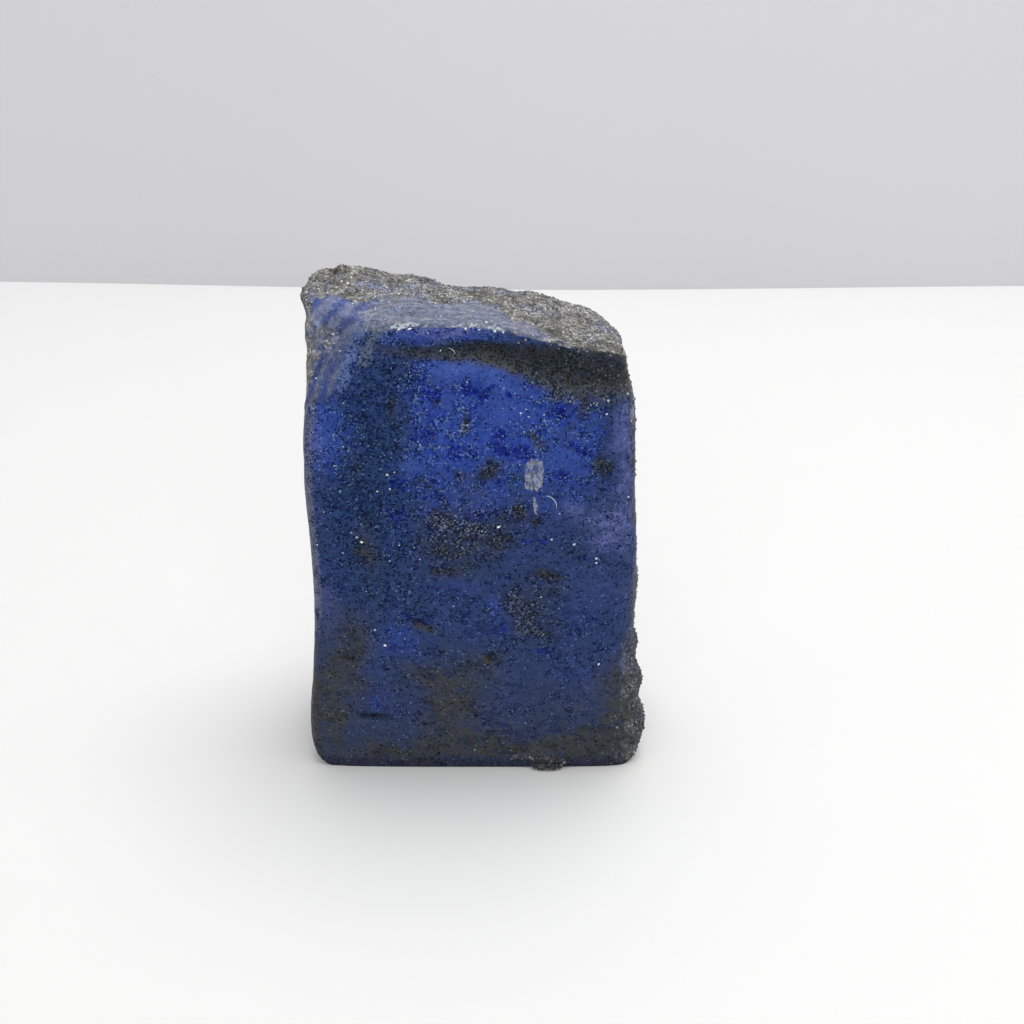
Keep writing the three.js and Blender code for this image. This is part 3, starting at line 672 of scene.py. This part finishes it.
# Each fleck is a flattened octahedron lying on the skin, tilted up towards the light, turned at random.
# The flakes, longer and laid in the front, and the threads of lint join them in one piece.
def makeFlecks():
    random = np.random.default_rng(flecks["seed"])
    forward, upward = skinNormals[:, 1] < -0.3, skinNormals[:, 2] > 0.3
    spots = [(nearestSkin(0, 2, x, z, forward), size) for x, z, size in flecks["front"]]
    spots += [(nearestSkin(0, 1, x, y, upward), size) for x, y, size in flecks["top"]]
    for weight, (count, least, most) in ((skinZones["crust"] * upward, flecks["onCrust"]),
                                         (skinZones["front"], flecks["onFront"])):
        near = scatter(count, weight, random)[2]
        spots += list(zip(near, least + (most - least) * random.random(count) ** 3))
    near, size = np.array([s[0] for s in spots]), np.array([s[1] for s in spots])
    count = len(near)
    outward = skinNormals[near] + random.normal(scale=flecks["askew"], size=(count, 3))
    outward = unit(outward + flecks["raised"])
    side = unit(np.cross(outward, random.normal(size=(count, 3))))
    turn = np.stack([side, np.cross(outward, side), outward], 1)
    form = grainForm * random.uniform(0.8, 1.5, (count, 6, 1)) * flecks["form"]
    points = np.einsum("nki,nij->nkj", form, turn) * size[:, None, None] + skinPoints[near][:, None]
    parts = [(points.reshape(-1, 3), octahedra(count), np.repeat(random.random(count), 6))]
    for x, z, long, high, tilt in flecks["flakes"]:
        form = grainForm * (long, high, high)
        across, rise = turned(form[:, 0], form[:, 1], -tilt)
        flake = np.stack([across, form[:, 2] * 0.6, rise], 1) + skinPoints[nearestSkin(0, 2, x, z, forward)]
        parts.append((flake, grainFaces[:, ::-1], np.full(6, flecks["flakeTint"])))
    for path in flecks["threads"]:
        tube, sides = threadTube(path, forward)
        parts.append((tube, sides, np.full(len(tube), flecks["threadTint"])))
    points, faces, tints = zip(*parts)
    starts = np.cumsum([0] + [len(part) for part in points[:-1]])
    faces = np.concatenate([part + start for part, start in zip(faces, starts)])
    piece = addMesh("flecks", np.concatenate(points), faces, smooth=False)
    setShare(piece, "tint", np.concatenate(tints))
    return piece


fleckPiece = makeFlecks()

print("materials")


# An output socket with arithmetic: each operator adds a Math node.
class Value:
    def __init__(self, board, socket):
        self.board, self.socket = board, socket

    def math(self, operation, *others, clamp=False):
        inputs = dict(enumerate((self,) + others))
        return self.board.add("ShaderNodeMath", dict(operation=operation, use_clamp=clamp), inputs)

    def __add__(self, other):
        return self.math("ADD", other)

    def __sub__(self, other):
        return self.math("SUBTRACT", other)

    def __rsub__(self, other):
        return self.board.add("ShaderNodeMath", dict(operation="SUBTRACT"), {0: other, 1: self})

    def __mul__(self, other):
        return self.math("MULTIPLY", other)

    __radd__, __rmul__ = __add__, __mul__

    def most(self, other):
        return self.math("MAXIMUM", other)

    def clamped(self):
        return self.math("ADD", 0, clamp=True)

    def out(self, name):
        return Value(self.board, self.socket.node.outputs[name])


# A paint's linear values, as the shader takes them, from its name or its 0 to 255 on a display.
def paint(colour):
    shown = np.array(paints.get(colour, colour)) / 255
    return tuple(v / 12.92 if v <= 0.04045 else ((v + 0.055) / 1.055) ** 2.4 for v in shown)


socketNames = dict(colour="Base Color", roughness="Roughness", normal="Normal", refraction="IOR")


# A material's board of nodes. Its place is in millimetres, and the leaned place gives slanting patterns.
class Board:
    def __init__(self, name):
        self.material = bpy.data.materials.new(name)
        self.material.use_nodes = True
        self.tree = self.material.node_tree
        self.shader = self.tree.nodes["Principled BSDF"]
        self.place = self.scaled(self.add("ShaderNodeTexCoord", {}, {}, "Object"), 1 / metre)
        self.leaned = self.mapped((1, 1, 1.6), -12)

    # Adds a node: its settings first, then its inputs by number or name, as values or links.
    def add(self, kind, settings, inputs, output=0):
        node = self.tree.nodes.new(kind)
        for name, value in settings.items():
            if name == "stops":
                self.setStops(node.color_ramp, value)
            else:
                setattr(node, name, value)
        for name, value in inputs.items():
            self.feed(node.inputs[name], value)
        return Value(self, node.outputs[output])

    # Links a value to a socket, or sets it to a number, a vector, a colour or a paint's name.
    def feed(self, socket, value):
        if isinstance(value, Value):
            self.tree.links.new(value.socket, socket)
        elif isinstance(value, str):
            socket.default_value = paint(value) + (1,)
        elif isinstance(value, tuple) and socket.type == "RGBA" and len(value) == 3:
            socket.default_value = value + (1,)
        else:
            socket.default_value = value

    def setStops(self, ramp, stops):
        while len(ramp.elements) < len(stops):
            ramp.elements.new(0.5)
        for element, (at, colour) in zip(ramp.elements, stops):
            element.position, element.color = at, paint(colour) + (1,)

    # Feeds the shader's own sockets, by name.
    def dressed(self, **inputs):
        for name, value in inputs.items():
            self.feed(self.shader.inputs[socketNames[name]], value)
        return self.material

    # A number that the mesh carries at each point.
    def share(self, name):
        return self.add("ShaderNodeAttribute", dict(attribute_name=name), {}, "Fac")

    def ease(self, lo, hi, value):
        settings = dict(interpolation_type="SMOOTHSTEP")
        return self.add("ShaderNodeMapRange", settings, {0: value, 1: lo, 2: hi})

    def scaled(self, vector, factor):
        return self.add("ShaderNodeVectorMath", dict(operation="SCALE"), {0: vector, "Scale": factor})

    def moved(self, vector, way, how="ADD"):
        return self.add("ShaderNodeVectorMath", dict(operation=how), {0: vector, 1: way})

    # The place turned about y by a lean in degrees and scaled.
    def mapped(self, scale, lean=0):
        inputs = {"Vector": self.place, "Rotation": (0, math.radians(lean), 0), "Scale": scale}
        return self.add("ShaderNodeMapping", {}, inputs)

    # Noise of a size in millimetres; a shift gives another, unlike the rest.
    def noise(self, size, detail=3, rough=0.6, place=None, output="Fac", shift=0):
        place = place or self.place
        if shift:
            place = self.moved(place, (shift * 10.3, shift * 7.1, 5.7))
        inputs = {"Vector": place, "Scale": 1 / size, "Detail": detail, "Roughness": rough}
        return self.add("ShaderNodeTexNoise", {}, inputs, output)

    # Place pushed about by a noise, so that round cells come out uneven.
    def stirred(self, size, reach):
        push = self.moved(self.noise(size, 2, output="Color"), (0.5, 0.5, 0.5), "SUBTRACT")
        return self.moved(self.place, self.scaled(push, reach))

    # Three random numbers, each the same all over a cell of the size.
    def grains(self, size, place, shift=0):
        inputs = {"Vector": self.moved(place, (shift, shift, shift)), "Scale": 1 / size}
        colour = self.add("ShaderNodeTexVoronoi", {}, inputs, "Color")
        parts = self.add("ShaderNodeSeparateColor", {}, {0: colour})
        return [parts.out(name) for name in ("Red", "Green", "Blue")]

    def mix(self, share, a, b, how="MIX"):
        return self.add("ShaderNodeMix", dict(data_type="RGBA", blend_type=how), {0: share, 6: a, 7: b}, 2)

    # A colour times another, or plus another, by a share of the whole.
    def multiplied(self, share, colour, factors):
        return self.mix(share, colour, self.mix(1, colour, factors, "MULTIPLY"))

    def brightened(self, share, colour, more):
        return self.mix(share, colour, self.mix(1, colour, more, "ADD"))

    def ramp(self, value, stops):
        return self.add("ShaderNodeValToRGB", dict(stops=stops), {0: value}, "Color")

    # How light the crust is from place to place, partly painted light and shade of its lumps: slow
    # swells times pebbles of a millimetre.
    def shade(self):
        swells = self.ease(0.35, 0.65, self.noise(2.6, 4, 0.65, self.leaned, shift=19))
        pebbles = self.ease(0.36, 0.6, self.noise(1, 3, 0.7, shift=21))
        return (0.72 + 0.5 * swells) * (0.58 + 0.56 * pebbles)


# The stone's paints, 0 to 255 on a display. Some stand in for light and shade: painted shade in the
# dark band under the lip, along the foot, in the slits and in the gap between the top knobs; painted
# highlights along the lip and the chamfer's ridge; painted sparkles; and a painted sheen where the
# left side turns away.
paints = dict(
    middle=(52, 71, 128), slate=(48, 68, 117), dome=(54, 84, 172), deep=(6, 38, 154), azure=(72, 102, 192),
    teal=(38, 67, 122), charcoal=(68, 70, 71), brown=(54, 54, 52), lilac=(108, 116, 180),
    purple=(72, 82, 136), band=(51, 54, 60), smoke=(92, 95, 98), rim=(46, 48, 66), dark=(30, 26, 20),
    scrape=(158, 162, 172), crest=(128, 134, 166), film=(112, 119, 140), veil=(140, 141, 152),
    streak=(112, 132, 190), olive=(120, 132, 154), glint=(222, 234, 238), spark=(196, 220, 250),
    chamfer=(68, 88, 152), ash=(98, 108, 150), edge=(128, 129, 148), tan=(130, 130, 124),
    green=(34, 78, 92), umber=(78, 72, 56), moss=(120, 120, 92), smudge=(44, 50, 52), hollow=(26, 32, 46),
    warm=(116, 112, 96), shadow=(34, 34, 33),
)
# The zones of haze and of trim: where each begins and is full, how much of it shows, and how far the
# stirring breaks it up.
skinLook = dict(
    haze=[("dome", 0.12, 0.8, 1, 1.3), ("azure", 0.1, 0.9, 1, 1.3), ("teal", 0.15, 0.8, 0.9, 1.3),
          ("purple", 0.2, 0.9, 0.9, 1.3), ("lilac", 0.1, 1, 0.9, 1.3)],
    # Of the trim, the edge is a painted sheen where the left side turns away, and the streak along the
    # chamfer's ridge partly a painted highlight.
    trim=[("edge", 0.3, 0.9, 0.6, 0.8), ("olive", 0.25, 0.8, 0.7, 1.3), ("streak", 0.2, 0.9, 0.8, 0.8)],
    cell=0.19, bigCell=0.36, stirSize=0.5, stirReach=0.22,  # grains of the front, in millimetres
    darkGrain=(0, 0.085, 0.33), bandGrain=(0.16, 0.17, 0.18),  # what a dark grain leaves of the colour
    paleGrain=(0.076, 0.122, 0.235), domeGrain=(0.12, 0.18, 0.34),  # what a pale grain adds to it
    blotch=(0.25, 0.42, 0.68), pallor=(0.018, 0.02, 0.022), frontDim=0.29, refraction=1.2,
)
crustLook = dict(
    stops=[(0, (52, 50, 48)), (0.3, (104, 103, 100)), (0.55, (146, 145, 143)), (0.8, (182, 180, 177)),
           (1, (236, 236, 240))],  # tone, paint
    low=(0.37, 0.385, 0.43),  # what the crust at the lower right keeps of its light
)


# The stone: haze, then the chamfer and the trim, the grains, the crust and the scrape, each laid over
# the last by its share.
def stoneMaterial():
    board = Board("waxyBlueCorundum")
    share, mix, soft = board.share, board.mix, board.ease
    teal, dome, calm = share("teal"), share("dome"), share("calm")
    leaned, drawn = board.leaned, board.mapped((1, 1, 0.35))
    broad, clump = board.noise(5.5, 2, 0.5), board.noise(2.2, 4, 0.65, leaned)
    small, fine = board.noise(0.75), board.noise(0.22, 2)
    stir = (broad - 0.5) * 0.8 + (clump - 0.5) * 1.6 + (small - 0.5) * 1.3
    rough = board.stirred(skinLook["stirSize"], skinLook["stirReach"])
    first, second, third = board.grains(skinLook["cell"], rough)
    big, odd, _ = board.grains(skinLook["bigCell"], rough, shift=3)

    # A zone's own share, broken up by the stirring only where the zone is.
    def zone(name, lo, hi, breakUp=1.3):
        return soft(lo, hi, share(name) * (1 + stir * breakUp))

    # 1 for the cells whose random number lies below a level.
    def chosen(number, level):
        return soft(-0.03, 0.03, level - number)

    crusty = soft(0.3, 0.6, share("crust") + stir * 0.5)
    clean = 1 - crusty
    brown, band, smooth = zone("brown", 0.1, 1, 1.4), zone("band", 0, 0.95, 0.9), zone("smooth", 0.1, 0.8)
    charcoal, film = zone("charcoal", -0.05, 1.05, 1.15), zone("film", 0.15, 0.8, 1.2)
    gritty = soft(0.44, 0.59, clump * 0.55 + board.noise(1.1, shift=9) * 0.45)
    gritty = ((gritty * 0.75 + teal * 0.25 + brown * 0.4) * (1 - smooth * 0.85)).clamped()

    # The haze under the grains.
    colour = mix(soft(0.42, 0.58, broad + (clump - 0.5) * 0.8), "slate", "middle")
    for name, lo, hi, most, breakUp in skinLook["haze"]:
        colour = mix(zone(name, lo, hi, breakUp) * most, colour, name)
    colour = mix(charcoal, colour, "charcoal")
    deep = zone("deep", 0.25, 0.8, 1.8) * (1 - calm * 0.6)
    colour = mix(deep * 0.85, colour, "deep")
    specks = soft(0.5, 0.62, small + gritty * 0.1)
    colour = mix(specks * dome * (1 - smooth) * 0.6, colour, "deep")
    blotch = board.noise(1.5, 4, 0.65, leaned, shift=13) + (broad - 0.5) * 0.3
    blotch = soft(0.54, 0.66, blotch) * (1 - smooth * 0.7)
    colour = board.multiplied(blotch * 0.55, colour, skinLook["blotch"])
    pallor = soft(0.52, 0.68, board.noise(1.8, 4, 0.65, leaned, shift=15))
    colour = board.brightened(pallor * 0.5, colour, skinLook["pallor"])
    colour = mix(brown * 0.65, colour, "brown")
    colour = mix(brown * (1 - share("sandy")) * 0.7, colour, "smudge")
    colour = mix(brown * soft(0.55, 0.68, board.noise(1.2, shift=17)) * 0.6, colour, "umber")

    # The chamfer: blue troughs and pale broken crests. Then the trim, the lip's film, the band under it,
    # dark with painted shade, painted shade along the foot, and the slits, with painted shade in them.
    arc = share("arc") + stir * 0.22
    arched = mix(soft(0.05, 0.95, arc), "chamfer", "ash")
    arched = mix(soft(0.78, 1, arc + (small - 0.5) * 1.4) * 0.8, arched, "crest")
    colour = mix(soft(0.2, 0.8, share("chamfer")), colour, arched)
    for name, lo, hi, most, breakUp in skinLook["trim"]:
        colour = mix(zone(name, lo, hi, breakUp) * most, colour, name)
    layers = board.noise(1.6, place=board.mapped((0.25, 2, 2)))
    veiled = mix(soft(0.42, 0.62, layers), "film", "veil")
    colour = mix(film, colour, board.scaled(veiled, 0.86 + 0.28 * soft(0.35, 0.65, small)))
    # The band under the lip: dark, with painted shade, lighter grey at its foot.
    colour = mix(band, colour, mix(share("haze"), "band", "smoke"))
    # Painted shade along the foot.
    colour = mix(share("rim") * 0.8, colour, "rim")
    colour = mix(soft(0.2, 0.8, share("sandRim") + (small - 0.5) * 1.2) * 0.6, colour, "umber")
    # Painted shade in the slits and pits.
    slitShade = soft(0.2, 1, share("cut") * (1 + stir) + (fine - 0.5) * 0.9)
    colour = mix(slitShade * 0.68, colour, "hollow")

    # Grains: dark ones take most of the colour away, pale ones add some, a few are almost white as
    # painted sparkles, and some are green or brown.
    plain = (1 - film * 0.7) * (1 - share("chamfer") * 0.6) * clean
    drifts = soft(0.4, 0.6, board.noise(3.4, place=leaned, shift=23))
    amount = gritty * (1 - charcoal * 0.5) * (1 - calm * 0.45) * (0.45 + 1.1 * drifts)
    sandy = brown * share("sandy")
    level = 0.03 + amount * 0.46 + teal * 0.1 + band * 0.2 + brown * 0.2 + deep * 0.2
    darkCells = chosen(first, level).most(chosen(big, amount * 0.15 - 0.02)) * plain
    keeps = mix(band, skinLook["darkGrain"], skinLook["bandGrain"])
    colour = board.multiplied(darkCells * 0.92, colour, keeps)
    tinted = chosen(third, amount * 0.26) * plain
    colour = mix(tinted * 0.6, colour, mix(brown, "green", "umber"))
    level = 0.002 + amount * (0.12 - teal * 0.07 + dome * 0.26) + sandy * 0.14 + film * 0.12 + calm * 0.014
    paleCells = chosen(second, level) * (1 - band * 0.8) * clean
    colour = mix(paleCells * sandy * 0.4, colour, "tan")
    adds = mix(dome, skinLook["paleGrain"], skinLook["domeGrain"])
    colour = board.brightened(paleCells * 0.85, colour, adds)
    # Painted sparkles: a few near-white cells.
    sparkleCells = chosen(second, -0.018 + amount * (0.012 + dome * 0.03) + sandy * 0.025) * clean
    colour = mix(sparkleCells * 0.6, colour, "spark")
    colour = board.scaled(colour, 0.72 + 0.56 * soft(0.25, 0.75, fine * 0.6 + small * 0.4))
    # Painted highlight along the lip.
    glint = soft(0.4, 0.66, share("glint") * (0.85 + stir * 2)) * chosen(first, 0.75) * chosen(big, 0.75)
    colour = mix(glint * 0.8, colour, "glint")
    # Painted shade: the front-facing faces made darker to offset the fill light.
    colour = board.scaled(colour, 1 - skinLook["frontDim"] * share("front"))

    # The crust: cells, each of its own tone, over a broad change from olive to blue.
    crusted = board.ramp(first * 0.3 + big * 0.3 + small * 0.6 - 0.1, crustLook["stops"])
    crusted = board.scaled(crusted, 0.6 + 0.4 * soft(0.3, 0.42, odd * 0.4 + small * 0.6))
    crusted = mix(soft(0.5, 0.7, broad + (clump - 0.5) * 0.8) * 0.45, crusted, "streak")
    crusted = mix(soft(0.5, 0.35, broad + (clump - 0.5) * 0.5) * 0.3, crusted, "moss")
    crusted = board.scaled(crusted, board.shade())
    crusted = board.multiplied(share("low"), crusted, crustLook["low"])
    colour = mix(crusty, colour, crusted)
    # Dark crumb and crust, with painted shade in the gap between the knobs.
    colour = mix(share("dark") * 0.7, colour, "dark")

    # The scrape: pale, drawn out upright, and crackled.
    upright = board.noise(0.42, 4, 0.7, drawn)
    scrape = soft(0.32, 0.5, share("scrape") + (upright - 0.5) * 0.9 + (small - 0.5) * 0.4)
    crackle = soft(0.42, 0.56, board.noise(0.3, 3, 0.7, drawn, shift=5))
    scrape = scrape * (1 - chosen(third, 0.2) * 0.65) * (0.2 + crackle * 0.54)
    colour = mix(scrape, colour, "scrape")

    height = fine * 0.05 * (0.5 + crusty) + small * 0.16 + clump * 0.3 - darkCells * 0.05
    height = height + paleCells * 0.02 + first * 0.06 * crusty - blotch * 0.1
    normal = board.add("ShaderNodeBump", {}, {"Strength": 1, "Distance": metre, "Height": height}, "Normal")
    roughness = 0.44 + crusty * 0.25 + darkCells * 0.2 + (small - 0.5) * 0.15
    refraction = skinLook["refraction"]
    return board.dressed(colour=colour, roughness=roughness, normal=normal, refraction=refraction)


# The grains of the crust, each of one tone, darker where they lie in the band under the lip or in a hollow:
# painted shade, over the band's own dark colour.
def grainMaterial():
    board = Board("grittyCrust")
    tone = board.share("tone")
    colour = board.ramp(tone, crustLook["stops"])
    colour = board.mix(board.ease(0.55, 0.75, board.noise(4)) * 0.4, colour, "lilac")
    colour = board.mix(board.share("warm") * 0.3, colour, "warm")
    shadow = board.share("band").most(board.share("dark") * 0.8)
    colour = board.mix(shadow * 0.85, colour, "shadow")
    colour = board.multiplied(board.share("low"), colour, crustLook["low"])
    roughness = 0.55 - board.ease(0.8, 1, tone) * 0.3
    return board.dressed(colour=board.scaled(colour, board.shade()), roughness=roughness)


# The flecks, each of one tint; the near-white tints are partly painted glints.
def fleckMaterial():
    board = Board("brightFacets")
    return board.dressed(colour=board.ramp(board.share("tint"), flecks["stops"]), roughness=0.3)


stonePiece.data.materials.append(stoneMaterial())
fleckPiece.data.materials.append(fleckMaterial())
grit = grainMaterial()
for piece in (topPiece, sidePiece):
    piece.data.materials.append(grit)
for piece in (stonePiece, topPiece, sidePiece, fleckPiece):
    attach(piece, "root")
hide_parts("sapphire")

print("studio")

studio = dict(
    near=-1.2, halfWide=1.4, drop=0.00004, bend=0.03, lean=0.3, wallFoot=-0.1, wallTop=0.75,  # metres
    fineWide=0.3, fineHigh=0.15, steps=61,  # the middle of the stage is cut finer
    farEdge=[(-0.3, 0.252), (-0.13, 0.246), (0, 0.2375), (0.14, 0.2415), (0.3, 0.246)],  # x, y
    floor=(243, 243, 242), floorRoughness=0.6, wall=(213, 212, 217), wallRoughness=0.9,
    lights=[("softbox", (0.12, 0.1, 0.75), 0.55, 3.4), ("fill", (0, -0.6, 0.22), 0.5, 1.5)],
    aim=(0, 0, 0.03), sky=(0.97, 0.97, 0.96, 1), skyStrength=0.475,
    cameraPlace=(0.0046, -0.2093, 0.115), cameraTilt=68, lens=58.88, sensor=36, clip=(0.01, 10),
)


# A stage sheet: a grid of two parameters sent to points in metres, with its own plain finish.
def addStage(name, points):
    rows, columns = points.shape[:2]
    i = np.arange(rows * columns).reshape(rows, columns)
    faces = np.stack([i[:-1, :-1], i[1:, :-1], i[1:, 1:], i[:-1, 1:]], 2).reshape(-1, 4)
    piece = addMesh(name, points.reshape(-1, 3) / metre, faces)
    look = dict(colour=paint(studio[name]), roughness=studio[name + "Roughness"])
    piece.data.materials.append(Board(name).dressed(**look))


# The floor: straight across, its far edge along a slightly bowed line. The wall: from that edge up,
# leaning back by lean * h^2 / (h + bend) at height h.
def makeStage():
    halfWide, fineWide, near = studio["halfWide"], studio["fineWide"], studio["near"]
    across = np.linspace(-fineWide, fineWide, studio["steps"])
    across = np.concatenate([[-halfWide], across, [halfWide]])
    edge = alongLine(studio["farEdge"], across)
    y = near + (edge[:, None] - near) * np.linspace(0, 1, 3)
    addStage("floor", np.stack([across[:, None] + 0 * y, y, 0 * y - studio["drop"]], 2))
    height = np.linspace(0, studio["fineHigh"], studio["steps"])
    height = np.concatenate([[studio["wallFoot"]], height, [studio["wallTop"]]])
    up = np.maximum(height, 0)
    y = edge[:, None] + studio["lean"] * up**2 / (up + studio["bend"])
    addStage("wall", np.stack([across[:, None] + 0 * y, y, height + 0 * y], 2))


makeStage()


# A square soft light of a size in metres and a power in watts, turned from straight down to the aim.
def addLight(name, place, size, power):
    lamp = bpy.data.lights.new(name, "AREA")
    lamp.shape, lamp.size, lamp.energy = "SQUARE", size, power
    light = bpy.data.objects.new(name, lamp)
    light.location = place
    way = np.array(studio["aim"]) - np.array(place)
    tilt = math.acos(-way[2] / np.linalg.norm(way))
    light.rotation_euler = (tilt, 0, math.atan2(way[1], way[0]) - math.pi / 2)
    bpy.context.scene.collection.objects.link(light)


for light in studio["lights"]:
    addLight(*light)
world = bpy.data.worlds.new("studioLight")
world.use_nodes = True
world.node_tree.nodes["Background"].inputs["Color"].default_value = studio["sky"]
world.node_tree.nodes["Background"].inputs["Strength"].default_value = studio["skyStrength"]
bpy.context.scene.world = world
bpy.context.scene.view_settings.view_transform = "Standard"

lens = bpy.data.cameras.new("camera")
lens.sensor_width, lens.lens = studio["sensor"], studio["lens"]
lens.clip_start, lens.clip_end = studio["clip"]
camera = bpy.data.objects.new("camera", lens)
camera.location = studio["cameraPlace"]
camera.rotation_euler = (math.radians(studio["cameraTilt"]), 0, 0)
bpy.context.scene.collection.objects.link(camera)
bpy.context.scene.camera = camera

print("finished")
